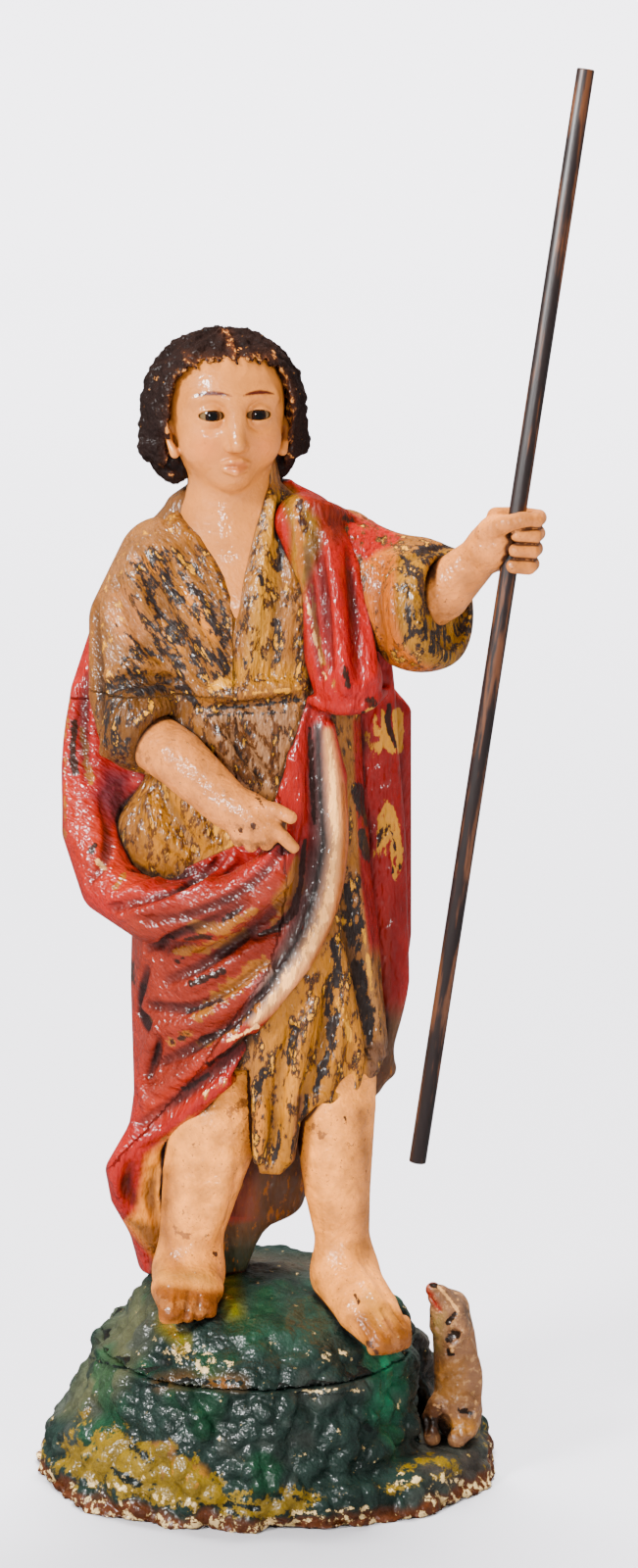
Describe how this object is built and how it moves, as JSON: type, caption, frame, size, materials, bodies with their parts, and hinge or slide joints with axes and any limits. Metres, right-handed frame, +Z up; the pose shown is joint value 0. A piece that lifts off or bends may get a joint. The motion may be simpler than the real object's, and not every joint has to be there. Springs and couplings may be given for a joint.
{
  "type": "carved saint statue",
  "caption": "Carved and painted wooden standing saint holding a long staff, on a rock mound with a small animal on its ledge.",
  "frame": {"origin": "middle of the flat underside of the rock base", "axes": "+Z up, the figure faces -Y, +X is on the viewer's right, the side of the staff"},
  "size_m": [0.1435, 0.1095, 0.3668],
  "materials": {
    "painted_wood": "worn oil paint on carved wood",
    "rock_paint": "worn dark green and ochre paint",
    "animal_paint": "worn tan paint",
    "dark_dowel": "dark worn stain",
    "eye_glass": "polished dark glass"
  },
  "bodies": {
    "root": {"figure": "painted_wood", "base": "rock_paint", "animal": "animal_paint", "staff": "dark_dowel", "eye_right": "eye_glass", "eye_left": "eye_glass"}
  },
  "joints": []
}
